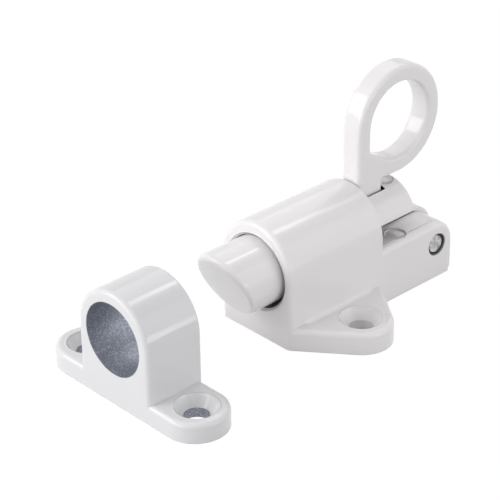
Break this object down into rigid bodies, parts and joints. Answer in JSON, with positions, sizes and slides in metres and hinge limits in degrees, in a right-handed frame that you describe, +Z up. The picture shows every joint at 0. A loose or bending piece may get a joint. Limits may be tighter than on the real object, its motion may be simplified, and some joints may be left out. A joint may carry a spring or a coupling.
{
  "type": "spring bolt latch",
  "caption": "Spring bolt latch: a bevelled sprung bolt in an arched housing with screw ears, drawn back by a hinged pull ring, with its separate arched keeper.",
  "frame": {"origin": "on the mounting face, midway between the latch's two screw holes", "axes": "+X from the bolt's nose towards the tail, +Y across the latch along its two screw holes, +Z up from the mounting face"},
  "size_m": [0.0831, 0.0428, 0.045],
  "materials": {
    "white_enamel": "glossy white enamel over a die casting",
    "bare_steel": "bare turned steel",
    "spring_steel": "drawn spring wire"
  },
  "bodies": {
    "root": {"housing": "white_enamel", "pivot_pin": "bare_steel", "bolt_spring": "spring_steel", "keeper": "white_enamel"},
    "bolt": {"bolt": "white_enamel"},
    "lever": {"pull_lever": "white_enamel"}
  },
  "joints": [
    {"name": "lever_swing", "type": "hinge", "parent": "root", "child": "lever", "pos_m": [0.0273, 0, 0.0074], "axis": [0, 1, 0], "range_deg": [0, 50]},
    {"name": "bolt_slide", "type": "slide", "parent": "root", "child": "bolt", "axis": [1, 0, 0], "range_m": [0, 0.0114], "stiffness_N_per_m": 1500, "springref_m": -0.005, "deforming": ["bolt_spring"]}
  ],
  "couplings": [
    {"joint": "lever_swing", "follows": "bolt_slide", "rad_per_m": 76.5}
  ]
}
